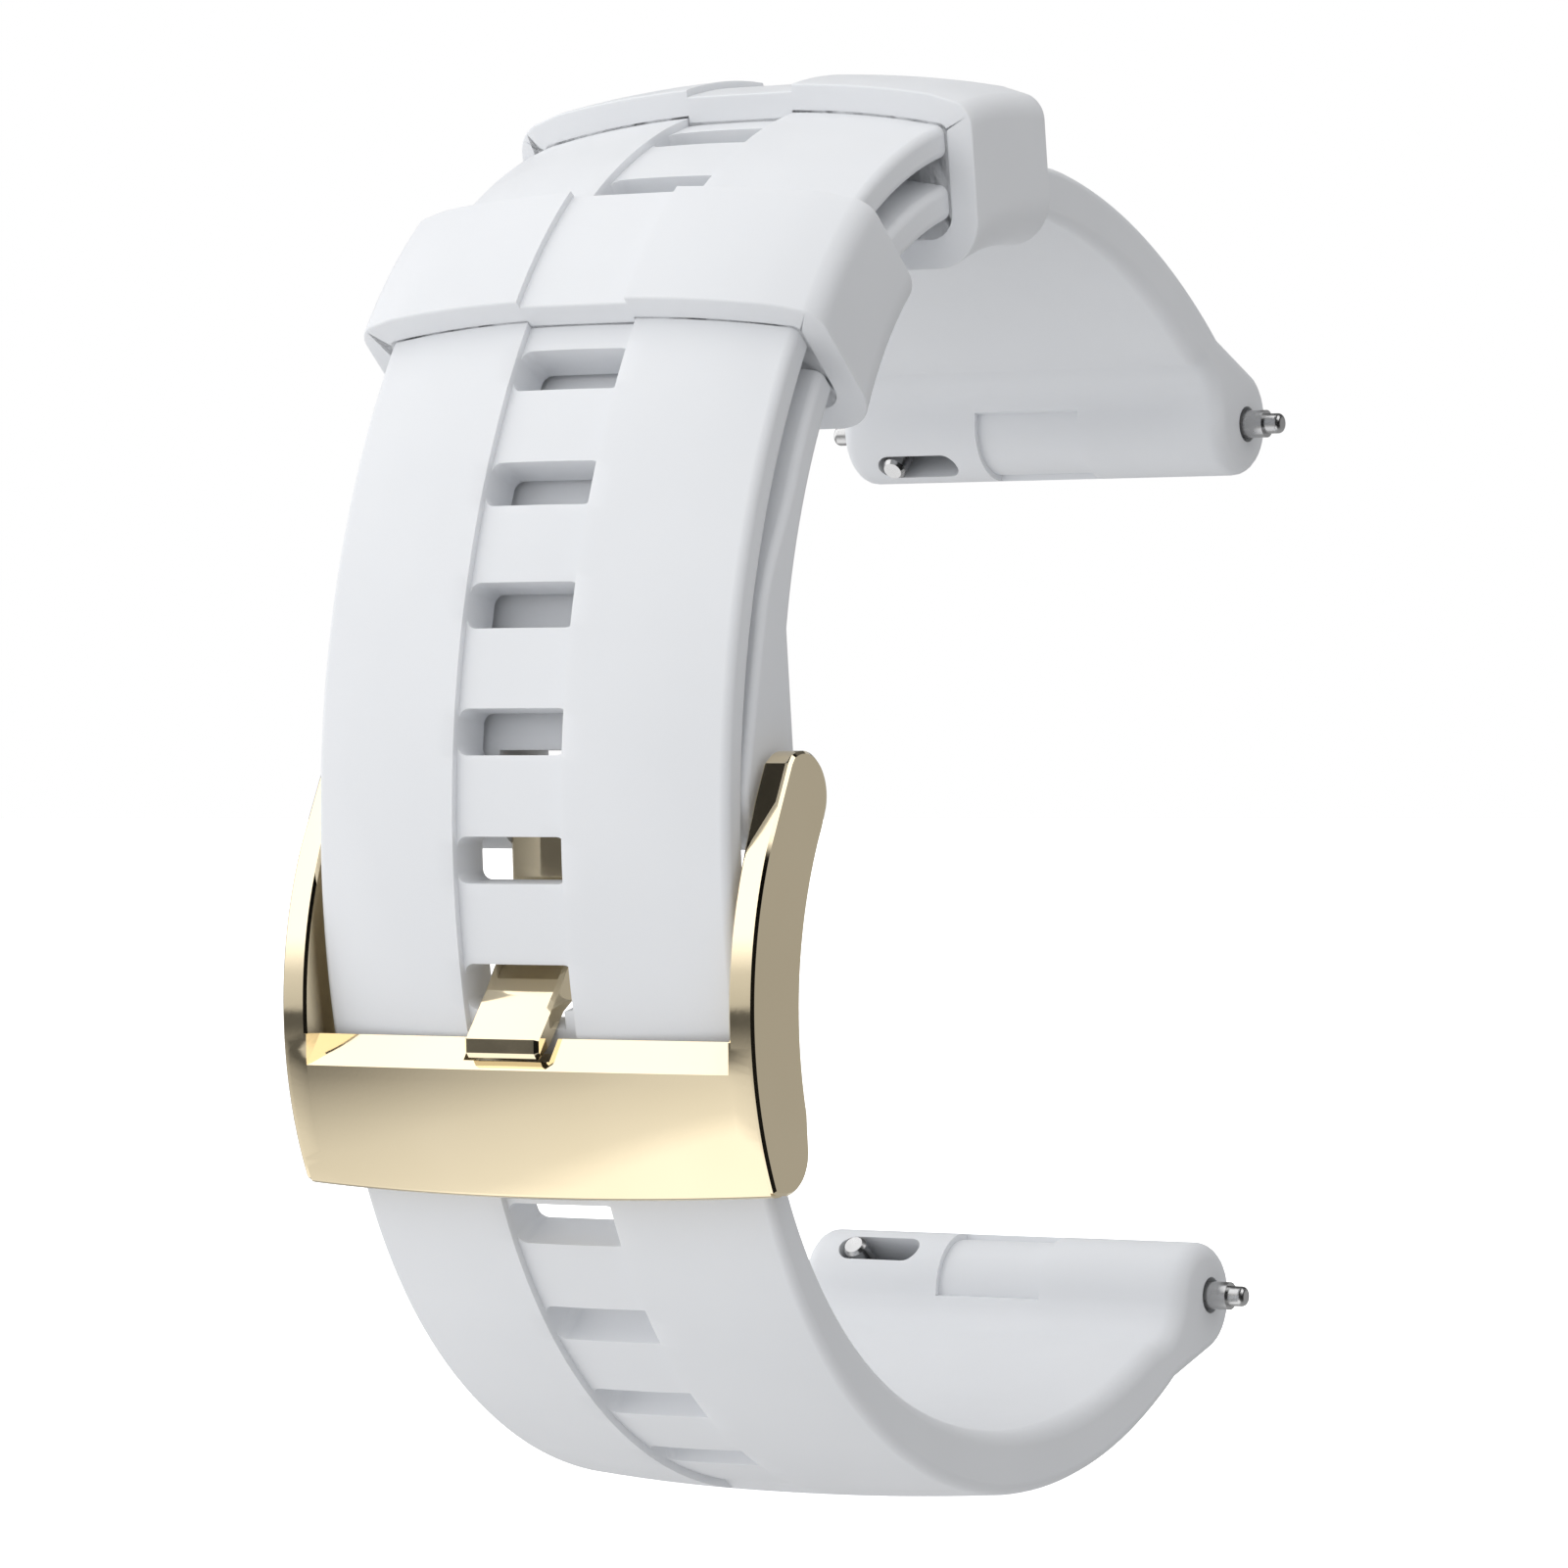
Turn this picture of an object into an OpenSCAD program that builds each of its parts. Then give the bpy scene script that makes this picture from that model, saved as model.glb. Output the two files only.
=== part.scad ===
// White silicone quick-release watch strap, buckled into a loop.
// X runs across the strap, the loop lies in the YZ plane, the buckle faces -Y,
// and the two lug ends, with their spring bars, face +Y. Z is up.

/* [Strap] */
// Width of both strap halves, which is also the lug width they fit
strap_w = 20; // [18:0.5:22]
// Thickness of the strap at mid width
strap_t = 2.3; // [2:0.1:2.6]
// Width of the groove and of the holes in it
groove_w = 5.3; // [4:0.1:6]
// Depth of the groove
groove_d = 0.35; // [0.2:0.05:0.5]
// Distance between holes along the strap
hole_pitch = 5.27; // [5:0.01:5.5]
// Length of a hole along the strap
hole_len = 1.95; // [1.6:0.05:2.2]

/* [Loop] */
// Radius of the outer face along the front of the loop
front_r = 38.3; // [37.5:0.1:39]
// Radius of the outer face round the top of the loop
upper_r = 22.2; // [21.8:0.1:22.6]
// Radius of the outer face round the bottom of the loop
lower_r = 23.5; // [23:0.1:24]
// Height of the upper spring bar above the middle of the loop
upper_bar_z = 16.45; // [16:0.05:17]
// Depth of the lower spring bar below the middle of the loop
lower_bar_z = 23.15; // [22.8:0.05:23.5]

/* [Spring bars] */
// Length of a spring bar over its tips
bar_len = 23.6; // [23:0.1:24]
// Radius of a tip's shoulder, which stands in the watch lug
pin_r = 0.63; // [0.6:0.01:0.65]
// Outer radius of a spring bar's tube
tube_r = 0.8; // [0.78:0.01:0.82]
// How far a lever draws its tip back
lever_travel = 2; // [1.5:0.1:2.4]

/* [Buckle] */
// Width of the buckle over its arms
buckle_w = 23; // [22.8:0.1:23.6]
// Thickness of an arm
arm_t = 1.2; // [1:0.05:1.2]
// Width of the tongue
tongue_w = 3.6; // [3.4:0.1:4.1]

/* [Keepers] */
// Length of a keeper along the strap
keeper_len = 6.5; // [5:0.1:7]
// Wall thickness of a keeper
keeper_wall = 1; // [0.8:0.05:1.1]

/* [Hidden] */

silicone = "whitesmoke";
gold = [0.86, 0.78, 0.62];
steel = "silver";
spring_steel = "gray";

// Angles are polar angles in the side view: 0 is +Y, 90 is +Z, 180 is the front
front_top = 148.8;
front_bottom = 206.6;
tail_tip = 88;
// Centres of the loop's arcs in the side view, as [Y, Z]
front_c = [14, -0.85];
upper_c = front_c + (front_r - upper_r) * [cos(front_top), sin(front_top)];
lower_c = front_c + (front_r - lower_r) * [cos(front_bottom), sin(front_bottom)];
// Flatter run from the bottom of the loop to the lower lug
heel_r = 28;
heel_c = lower_c + [0, heel_r - lower_r];
heel_end = 302;
// Inner face of the hole side, which thickens towards its lug
inner_front_bottom = 204.3;
inner_low_r = 20.2;
inner_low_end = 250.9;
inner_low_c = front_c + (front_r - strap_t - inner_low_r)
  * [cos(inner_front_bottom), sin(inner_front_bottom)];
inner_heel_r = 26.15;
inner_heel_end = 297;
inner_heel_c = inner_low_c + (inner_low_r - inner_heel_r) * [cos(inner_low_end), sin(inner_low_end)];

// Buckle side: it lies under the other half round the top and leaves a gap at the front
strap_gap = 0.3;
under_r = upper_r - strap_t - strap_gap;
under_front_r = 30.4;
under_front_c = upper_c + (under_r - under_front_r) * [cos(front_top), sin(front_top)];
under_end = 171;
under_front_t = 2.2;
// Vents in the buckle side
front_vent_at = 156.5;
vent_at = [136, 104];
// Flatter run from the top of the loop to the upper lug
crown_r = 31;
crown_c = upper_c + [0, under_r - crown_r];
crown_end = 51.3;
crown_inner_r = 28.5;
crown_inner_c = upper_c + [0, under_r - strap_t - crown_inner_r];
crown_inner_end = 53.2;

// Lug ends: a barrel round each spring bar
upper_bar = [22.3, upper_bar_z];
lower_bar = [18.7, -lower_bar_z];
upper_tilt = 8;
barrel_r = 2.5;
barrel_c = [-0.4, -0.1];
lug_fillet_r = 2.1;
lug_fillet_c = [-5, 0.25];
recess_w = 5.4;
recess_d = 0.28;

bore_r = tube_r + 0.02;
tube_inner_r = pin_r + 0.04;
tube_half = 9.4;
shoulder_x = strap_w / 2 + 1;
tip_r = 0.46;
sliding_inner_x = -6.4;
fixed_inner_x = 6.5;
spring_r = 0.52;
wire_r = 0.09;
coil_turns = 16;
spring_end_gap = 0.02;

// Lever of a quick-release bar: it stands in a slot on the inner side of the lug
lever_r = 0.55;
lever_x = -7.5;
lever_stem_r = 0.3;
lever_len = 2.85;
lever_dir = 140;
slot_x = [-8.3, -4.1];
slot_w = 1.4;

// Buckle: it turns on a spring bar in the end of the buckle side
pivot = [-19.7, -0.5];
pivot_barrel_r = 2.2;
arm_front_c = [-7.2, -9.02];
arm_front_r = 16.48;
arm_rear_c = [-4.54, -9.07];
arm_rear_r = 15.51;
arm_end_r = 1.85;
arm_foot_c = [-21, -14.95];
arm_foot_r = 1.7;
bar_bow_r = 88;
bar_front_y = -24.2;
bar_clearance = 0.15;
pivot_hole_r = 0.45;
plunger_tip_r = 0.4;
plunger_r = 0.58;
plunger_x = 10.9;
plunger_inner_x = 6.5;
pivot_tube_half = 8.9;
tongue_loop_r = 1.4;
tongue_slot_w = tongue_w + 0.5;
tongue_slot_top = 1.9;
// The bar's profile in the side view
bar_top_y = -23.3;
bar_top_z = -10.4;
bar_face_z = -11.75;
bar_face_c = [-7.87, -9.02];
// Outline of the tongue below its loop: front and back faces, from the loop to the tip
tongue_front = [[-20.75, -5.6], [-21, -6.9], [-21.4, -7.3], [-22.1, -7.5], [-23.05, -8.66],
  [-24.35, -10.42], [-24.35, -11.1]];
tongue_back = [[-19.9, -2.2], [-20, -6.3], [-20.3, -7.4], [-21.2, -8.2], [-22.57, -9.02],
  [-23.75, -10.7], [-23.95, -11.35]];
// Seat for the tongue's tip in the top of the bar
tongue_notch = [[-22.5, -9.8], [-23.1, -10.6], [-23.6, -11.05], [-23.85, -11.5], [-25, -11.6], [-25, -9.8]];

// Keepers, as polar angles round upper_c
keeper_lower_at = 139.5;
keeper_upper_at = 97.5;
keeper_gap = 0.15;
keeper_turn = 14;
keeper_corner_r = 1.6;

// Points of an arc from angle a0 to a1
function arc(c, r, a0, a1, n = 16) =
  [for (i = [0:n]) c + r * [cos(a0 + (a1 - a0) * i / n), sin(a0 + (a1 - a0) * i / n)]];

// Outer face of the hole side, d below the surface, from a polar angle to the bottom
function outer_path(d, from) = concat(
  arc(upper_c, upper_r - d, from, front_top, 20),
  arc(front_c, front_r - d, front_top, front_bottom, 30),
  arc(lower_c, lower_r - d, front_bottom, 270, 20)
);

// A lug point placed on its bar: side is 1 for the lower lug, -1 for the upper one
function on_lug(p, bar, side, tilt) =
  let (q = [p[0], side * p[1]])
  bar + [q[0] * cos(tilt) + q[1] * sin(tilt), q[1] * cos(tilt) - q[0] * sin(tilt)];

// Outline of a lug from the strap's outer face, round the barrel, to its inner face
lug_outline = concat(
  arc(barrel_c, barrel_r, -75, 180, 20),
  arc(lug_fillet_c, lug_fillet_r, 350, 262, 8)
);
function lug_points(bar, side, tilt) = [for (p = lug_outline) on_lug(p, bar, side, tilt)];
function reversed(list) = [for (i = [len(list) - 1:-1:0]) list[i]];

// Holes are spaced along the groove floor, counted from the one the tongue uses
groove_front_r = front_r - groove_d;
tongue_hole_at = 191.4;
first_hole = -5;
last_hole = 8;
hole_depth = strap_t + 3.6;
hole_corner_r = 0.45;
function front_angle(i) = tongue_hole_at - i * hole_pitch / groove_front_r * 180 / PI;
function past_top(i) = (front_top - front_angle(i)) * groove_front_r / (upper_r - groove_d);
function past_bottom(i) = (front_angle(i) - front_bottom) * groove_front_r / (lower_r - groove_d);

// Stands a side-view outline up and gives it a width across X
module across(width, x = 0) {
  translate([x, 0, 0]) rotate([90, 0, 90]) linear_extrude(width, center = true) children();
}

// Frame on the loop: local x points outwards at the polar angle, local z runs along X
module at_angle(centre, angle) {
  rotate([90, 0, 90]) translate(centre) rotate(angle) children();
}

// Frame on a spring bar: local z points away from the bar at a polar angle
module away_from(bar, angle, x) {
  translate([x, bar[0], bar[1]]) rotate([angle - 90, 0, 0]) children();
}

// Rod along X between two stations
module rod(c, r, x0, x1) {
  translate([x0, c[0], c[1]]) rotate([0, 90, 0]) cylinder(r = r, h = x1 - x0, $fn = 48);
}

// Rod end that narrows to a rounded nose; side is 1 towards +X and -1 towards -X
module nose(c, r, from, to, side) {
  translate([side * from, c[0], c[1]]) rotate([0, side * 90, 0]) rotate_extrude($fn = 48)
    polygon(concat([[0, 0], [r, 0]], arc([r / 2, to - from - r / 2], r / 2, 0, 90, 6), [[0, to - from]]));
}

module rounded_slot(len, width, r) {
  polygon(concat(
    arc([len / 2 - r, width / 2 - r], r, 0, 90, 4), arc([r - len / 2, width / 2 - r], r, 90, 180, 4),
    arc([r - len / 2, r - width / 2], r, 180, 270, 4), arc([len / 2 - r, r - width / 2], r, 270, 360, 4)
  ));
}

// One hole through a strap, cut outwards from radius r_in
module strap_hole(centre, angle, r_in) {
  at_angle(centre, angle) translate([r_in, 0, 0]) rotate([90, 0, 90])
    linear_extrude(hole_depth) rounded_slot(hole_len, groove_w, hole_corner_r);
}

// Hole number i of the hole side: 0 holds the tongue, higher numbers lie towards the tail
module hole_number(i) {
  if (front_angle(i) < front_top)
    strap_hole(upper_c, front_top - past_top(i), upper_r - strap_t - 1);
  else if (front_angle(i) > front_bottom)
    strap_hole(lower_c, front_bottom + past_bottom(i), lower_r - strap_t - 2);
  else
    strap_hole(front_c, front_angle(i), front_r - strap_t - 1);
}

// Slot with round ends from a spring bar's bore out through the inner side of its lug
module lever_slot(bar, side, width, depth) {
  half = (slot_x[1] - slot_x[0] - width) / 2;
  away_from(bar, side * lever_dir, (slot_x[0] + slot_x[1]) / 2) {
    translate([-half, -width / 2, 0]) cube([2 * half, width, depth]);
    for (x = [-half, half]) translate([x, 0, 0]) cylinder(r = width / 2, h = depth, $fn = 32);
  }
}

// Shallow recess round the middle of a lug's barrel
module lug_recess(bar, side, tilt) {
  across(recess_w) polygon([for (p = concat(
    arc(barrel_c, barrel_r - recess_d, 80, 185, 12),
    arc(barrel_c, barrel_r + 1, 185, 80, 12)
  )) on_lug(p, bar, side, tilt)]);
}

// Room that the bent tongue needs in the stretched hole
module tongue_relief() {
  across(tongue_w + 0.4) polygon([
    [-19.5, -6.2], [-21.9, -5.9], [-22.9, -7.4], [-24, -9], [-24, -10.6], [-22.4, -9.4], [-20.2, -9.2]
  ]);
}

module strap_hole_side() {
  color(silicone) difference() {
    across(strap_w) polygon(concat(
      outer_path(0, tail_tip),
      arc(heel_c, heel_r, 270, heel_end, 14),
      lug_points(lower_bar, 1, 0),
      arc(inner_heel_c, inner_heel_r, inner_heel_end, inner_low_end, 14),
      arc(inner_low_c, inner_low_r, inner_low_end, inner_front_bottom, 16),
      arc(front_c, front_r - strap_t, inner_front_bottom, front_top, 30),
      arc(upper_c, upper_r - strap_t, front_top, tail_tip, 20)
    ));
    across(groove_w) polygon(concat(
      outer_path(groove_d, tail_tip + 6), reversed(outer_path(-1, tail_tip + 6))
    ));
    for (i = [first_hole:last_hole]) hole_number(i);
    tongue_relief();
    rod(lower_bar, bore_r, -strap_w, strap_w);
    lever_slot(lower_bar, 1, slot_w, 5);
    lug_recess(lower_bar, 1, 0);
  }
}

module strap_buckle_side() {
  color(silicone) difference() {
    across(strap_w) polygon(concat(
      arc(crown_c, crown_r, crown_end, 90, 14),
      arc(upper_c, under_r, 90, front_top, 20),
      arc(under_front_c, under_front_r, front_top, under_end, 14),
      arc(pivot, pivot_barrel_r, 165, 400, 20),
      arc(under_front_c, under_front_r - under_front_t, under_end, front_top, 14),
      arc(upper_c, under_r - strap_t, front_top, 90, 20),
      arc(crown_inner_c, crown_inner_r, 90, crown_inner_end, 14),
      reversed(lug_points(upper_bar, -1, upper_tilt))
    ));
    for (a = vent_at) strap_hole(upper_c, a, under_r - strap_t - 1);
    strap_hole(under_front_c, front_vent_at, under_front_r - strap_t - 1);
    rod(upper_bar, bore_r, -strap_w, strap_w);
    lever_slot(upper_bar, -1, slot_w, 5);
    lug_recess(upper_bar, -1, upper_tilt);
    rod(pivot, bore_r, -strap_w, strap_w);
    translate([-tongue_slot_w / 2, pivot[0] - 5, pivot[1] - 5])
      cube([tongue_slot_w, 10, 5 + tongue_slot_top]);
  }
}

// A keeper is a band turned round the loop's upper centre and cut square at both ends
module keeper(at) {
  r0 = under_r - strap_t - keeper_gap;
  r1 = upper_r + keeper_gap;
  half_x = strap_w / 2 + 0.35;
  turn = 2 * keeper_turn;
  color(silicone) intersection() {
    at_angle(upper_c, at - keeper_turn) difference() {
      rotate_extrude(angle = turn, $fn = 180) translate([(r0 + r1) / 2, 0])
        rounded_slot(r1 - r0 + 2 * keeper_wall, 2 * (half_x + keeper_wall), keeper_corner_r);
      rotate(-1) rotate_extrude(angle = turn + 2, $fn = 180) translate([(r0 + r1) / 2, 0])
        rounded_slot(r1 - r0, 2 * half_x, keeper_corner_r - keeper_wall);
    }
    at_angle(upper_c, at) translate([(r0 + r1) / 2, 0, 0])
      cube([20, keeper_len, 2 * strap_w], center = true);
  }
}

module keeper_lower() { keeper(keeper_lower_at); }
module keeper_upper() { keeper(keeper_upper_at); }

module buckle_arm(x) {
  across(arm_t, x) polygon(concat(
    arc(arm_front_c, arm_front_r, 149, 205, 24),
    arc(arm_foot_c, arm_foot_r, 225, 372, 12),
    arc(arm_rear_c, arm_rear_r, 196, 152, 16),
    arc(pivot, arm_end_r, -15, 150, 14)
  ));
}

// Front bar: a straight bar whose front is rounded by a large upright cylinder
module buckle_bar() {
  intersection() {
    across(buckle_w) polygon(concat(
      [[bar_top_y, bar_top_z], [bar_front_y, bar_face_z]],
      arc(bar_face_c, arm_front_r, 190, 204, 8),
      [[-22, -17], [-21.2, -17], [-20.3, -16], [-20.3, -12]]
    ));
    translate([0, bar_front_y + bar_bow_r, -30]) cylinder(r = bar_bow_r, h = 40, $fn = 360);
  }
}

module buckle_frame() {
  color(gold) difference() {
    union() {
      for (side = [-1, 1]) buckle_arm(side * (buckle_w - arm_t) / 2);
      buckle_bar();
    }
    across(strap_w + 0.4) polygon(concat(
      arc(front_c, front_r + bar_clearance, 185, front_bottom, 16),
      arc(lower_c, lower_r + bar_clearance, front_bottom, 225, 8),
      [[-10, -10]]
    ));
    across(tongue_w + 0.5) polygon(tongue_notch);
    for (side = [-1, 1]) rod(pivot, pivot_hole_r, side > 0 ? 0 : -plunger_x - 0.1, side > 0 ? plunger_x + 0.1 : 0);
  }
}

module buckle_tongue() {
  color(gold) difference() {
    across(tongue_w) polygon(concat(
      arc(pivot, tongue_loop_r, -60, 205, 20),
      tongue_front,
      reversed(tongue_back)
    ));
    rod(pivot, tube_r + 0.05, -tongue_w, tongue_w);
  }
}

// Open tube, centred on the strap
module tube(c, r, inner_r, half) {
  difference() {
    rod(c, r, -half, half);
    rod(c, inner_r, -half - 1, half + 1);
  }
}

// Coil spring: square wire swept along a helix round the bar's axis
module coil(c, x0, x1) {
  steps = 8;
  last = coil_turns * steps;
  r = spring_r - wire_r;
  function corner(i, j) = [
    x0 + wire_r + (x1 - x0 - 2 * wire_r) * i / last + (j < 2 ? wire_r : -wire_r),
    c[0] + (r + (j % 3 == 0 ? wire_r : -wire_r)) * cos(360 * i / steps),
    c[1] + (r + (j % 3 == 0 ? wire_r : -wire_r)) * sin(360 * i / steps)
  ];
  polyhedron(
    [for (i = [0:last]) for (j = [0:3]) corner(i, j)],
    concat(
      [[0, 1, 2], [0, 2, 3], [4 * last, 4 * last + 2, 4 * last + 1], [4 * last, 4 * last + 3, 4 * last + 2]],
      [for (i = [0:last - 1]) for (j = [0:3]) [4 * i + j, 4 * i + 4 + j, 4 * i + (j + 1) % 4]],
      [for (i = [0:last - 1]) for (j = [0:3]) [4 * i + 4 + j, 4 * i + 4 + (j + 1) % 4, 4 * i + (j + 1) % 4]]
    )
  );
}

module buckle_bar_tube() {
  color(steel) tube(pivot, tube_r, plunger_r + 0.04, pivot_tube_half);
}

module buckle_bar_spring() {
  color(spring_steel) coil(pivot, -plunger_inner_x + spring_end_gap, plunger_inner_x - spring_end_gap);
}

module buckle_bar_plunger(side) {
  color(steel) union() {
    rod(pivot, plunger_r, side > 0 ? plunger_inner_x : -strap_w / 2, side > 0 ? strap_w / 2 : -plunger_inner_x);
    nose(pivot, plunger_tip_r, strap_w / 2 - 0.05, plunger_x, side);
  }
}

module buckle_bar_plunger_left() { buckle_bar_plunger(-1); }
module buckle_bar_plunger_right() { buckle_bar_plunger(1); }

module quick_bar_tube(bar, side) {
  color(steel) difference() {
    tube(bar, tube_r, tube_inner_r, tube_half);
    lever_slot(bar, side, 2 * lever_r + 0.1, 2);
  }
}

module quick_bar_spring(bar) {
  color(spring_steel) coil(bar, sliding_inner_x + spring_end_gap, fixed_inner_x - spring_end_gap);
}

module quick_bar_fixed_tip(bar) {
  color(steel) union() {
    rod(bar, tube_inner_r, fixed_inner_x, tube_half);
    rod(bar, pin_r, tube_half - 0.1, shoulder_x);
    nose(bar, tip_r, shoulder_x - 0.05, bar_len / 2, 1);
  }
}

module quick_bar_sliding_pin(bar, side) {
  color(steel) difference() {
    union() {
      rod(bar, pin_r, -shoulder_x, sliding_inner_x);
      nose(bar, tip_r, shoulder_x - 0.05, bar_len / 2, -1);
    }
    away_from(bar, side * lever_dir, lever_x) cylinder(r = lever_stem_r, h = 2, $fn = 32);
  }
}

// The lever's stem is pressed into the sliding pin, and its head is what a fingernail pulls
module quick_bar_lever(bar, side) {
  color(steel) away_from(bar, side * lever_dir, lever_x) union() {
    cylinder(r = lever_stem_r, h = pin_r + 0.3, $fn = 32);
    translate([0, 0, pin_r + 0.02]) cylinder(r = lever_r, h = lever_len - pin_r - 0.2, $fn = 48);
    translate([0, 0, lever_len - 0.18]) cylinder(r1 = lever_r, r2 = lever_r - 0.12, h = 0.18, $fn = 48);
  }
}

module upper_bar_tube() { quick_bar_tube(upper_bar, -1); }
module upper_bar_spring() { quick_bar_spring(upper_bar); }
module upper_bar_fixed_tip() { quick_bar_fixed_tip(upper_bar); }
module upper_bar_sliding_pin() { quick_bar_sliding_pin(upper_bar, -1); }
module upper_bar_lever() { quick_bar_lever(upper_bar, -1); }
module lower_bar_tube() { quick_bar_tube(lower_bar, 1); }
module lower_bar_spring() { quick_bar_spring(lower_bar); }
module lower_bar_fixed_tip() { quick_bar_fixed_tip(lower_bar); }
module lower_bar_sliding_pin() { quick_bar_sliding_pin(lower_bar, 1); }
module lower_bar_lever() { quick_bar_lever(lower_bar, 1); }

strap_hole_side();
strap_buckle_side();
keeper_lower();
keeper_upper();
buckle_frame();
buckle_tongue();
buckle_bar_tube();
buckle_bar_spring();
buckle_bar_plunger_left();
buckle_bar_plunger_right();
upper_bar_tube();
upper_bar_spring();
upper_bar_fixed_tip();
upper_bar_sliding_pin();
upper_bar_lever();
lower_bar_tube();
lower_bar_spring();
lower_bar_fixed_tip();
lower_bar_sliding_pin();
lower_bar_lever();
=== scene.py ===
"""Looks for a white silicone watch strap buckled into a loop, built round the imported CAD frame."""
import math

import bmesh
import bpy
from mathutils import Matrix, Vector


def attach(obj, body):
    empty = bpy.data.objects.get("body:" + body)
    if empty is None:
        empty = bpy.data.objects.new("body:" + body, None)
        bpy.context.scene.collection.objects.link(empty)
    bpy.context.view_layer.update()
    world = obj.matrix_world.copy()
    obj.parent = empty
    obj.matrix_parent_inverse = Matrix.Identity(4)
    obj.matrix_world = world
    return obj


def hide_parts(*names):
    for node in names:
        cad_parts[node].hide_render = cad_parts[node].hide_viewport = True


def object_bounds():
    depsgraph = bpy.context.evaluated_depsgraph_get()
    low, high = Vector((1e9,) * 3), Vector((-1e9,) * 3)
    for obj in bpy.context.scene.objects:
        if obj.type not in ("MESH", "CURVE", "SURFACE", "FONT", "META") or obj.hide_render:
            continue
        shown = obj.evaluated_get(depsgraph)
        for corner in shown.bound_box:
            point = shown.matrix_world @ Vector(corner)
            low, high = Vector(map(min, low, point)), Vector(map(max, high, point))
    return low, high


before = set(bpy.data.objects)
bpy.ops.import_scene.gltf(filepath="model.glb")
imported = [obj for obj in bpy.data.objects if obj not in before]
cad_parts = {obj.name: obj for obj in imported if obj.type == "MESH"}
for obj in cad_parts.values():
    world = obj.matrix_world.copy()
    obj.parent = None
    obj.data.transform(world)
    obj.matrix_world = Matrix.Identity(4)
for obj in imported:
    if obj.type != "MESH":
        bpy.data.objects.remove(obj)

cad_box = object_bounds()
MM = 0.001

# ---------------------------------------------------------------- camera, level with the loop's middle
CAMERA_AT = (0.15897, -0.26678, 0.0)
CAMERA_AZIMUTH = 31
CAMERA_LENS = 162.95

cam_data = bpy.data.cameras.new("camera")
cam_data.sensor_width = 36.0
cam_data.lens = CAMERA_LENS
cam_data.clip_start = 0.01
cam_data.clip_end = 20.0
cam = bpy.data.objects.new("camera", cam_data)
cam.location = CAMERA_AT
cam.rotation_euler = (math.radians(90), 0.0, math.radians(CAMERA_AZIMUTH))
bpy.context.scene.collection.objects.link(cam)
bpy.context.scene.camera = cam


# ---------------------------------------------------------------- side-view geometry, in mm as (y, z)
def polar(c, r, deg):
    a = math.radians(deg)
    return (c[0] + r * math.cos(a), c[1] + r * math.sin(a))


def arc(c, r, a0, a1, n):
    return [polar(c, r, a0 + (a1 - a0) * i / n) for i in range(n + 1)]


STRAP_HALF = 10.0
STRAP_T = 2.3
GROOVE_HALF = 2.65
GROOVE_D = 0.35
TAIL_END = 0.1
HOLE_HALF = 0.975
HOLE_R = 0.45
HOLE_PITCH = 5.27
FIRST_HOLE = 191.4

FRONT_TOP, FRONT_BOTTOM, TAIL_TIP = 148.8, 206.6, 88.0
FRONT_C, FRONT_R = (14.0, -0.85), 38.3
UPPER_R, LOWER_R = 22.2, 23.5
UPPER_C = polar(FRONT_C, FRONT_R - UPPER_R, FRONT_TOP)
LOWER_C = polar(FRONT_C, FRONT_R - LOWER_R, FRONT_BOTTOM)
HEEL_R, HEEL_END = 28.0, 302.0
HEEL_C = (LOWER_C[0], LOWER_C[1] + HEEL_R - LOWER_R)
INNER_FRONT_BOTTOM = 204.3
INNER_LOW_R, INNER_LOW_END = 20.2, 250.9
INNER_LOW_C = polar(FRONT_C, FRONT_R - STRAP_T - INNER_LOW_R, INNER_FRONT_BOTTOM)
INNER_HEEL_R, INNER_HEEL_END = 26.15, 297.0
INNER_HEEL_C = polar(INNER_LOW_C, INNER_LOW_R - INNER_HEEL_R, INNER_LOW_END)

UNDER_R = UPPER_R - STRAP_T - 0.3
UNDER_FRONT_R, UNDER_FRONT_T, UNDER_END = 30.4, 2.2, 171.0
UNDER_FRONT_C = polar(UPPER_C, UNDER_R - UNDER_FRONT_R, FRONT_TOP)
CROWN_R, CROWN_END = 31.0, 51.3
CROWN_C = (UPPER_C[0], UPPER_C[1] + UNDER_R - CROWN_R)
CROWN_IN_R, CROWN_IN_END = 28.5, 53.2
CROWN_IN_C = (UPPER_C[0], UPPER_C[1] + UNDER_R - STRAP_T - CROWN_IN_R)

UPPER_BAR, LOWER_BAR = (22.3, 16.45), (18.7, -23.15)
PIVOT = (-19.7, -0.5)
PIVOT_BARREL_R = 2.2
BORE_R, BORE_HALF = 0.82, 12
UPPER_TILT, LOWER_TILT = 8, 0
TONGUE_HALF = 1.8
TONGUE_X = -0.2


class Path:
    """A chain of arcs (centre, radius, from, to), measured in mm along it from its first point."""

    def __init__(self, arcs):
        self.arcs = arcs
        self.starts = [0.0]
        for _, r, a, b in arcs:
            self.starts.append(self.starts[-1] + r * math.radians(abs(b - a)))
        self.length = self.starts[-1]

    def at(self, s):
        k = max(i for i in range(len(self.arcs)) if i == 0 or self.starts[i] <= s)
        c, r, a, b = self.arcs[k]
        deg = a + (b - a) * (s - self.starts[k]) / (self.starts[k + 1] - self.starts[k])
        return polar(c, r, deg), polar((0, 0), 1, deg)

    def length_at(self, k, deg):
        _, r, a, _ = self.arcs[k]
        return self.starts[k] + r * math.radians(abs(deg - a))


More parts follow.
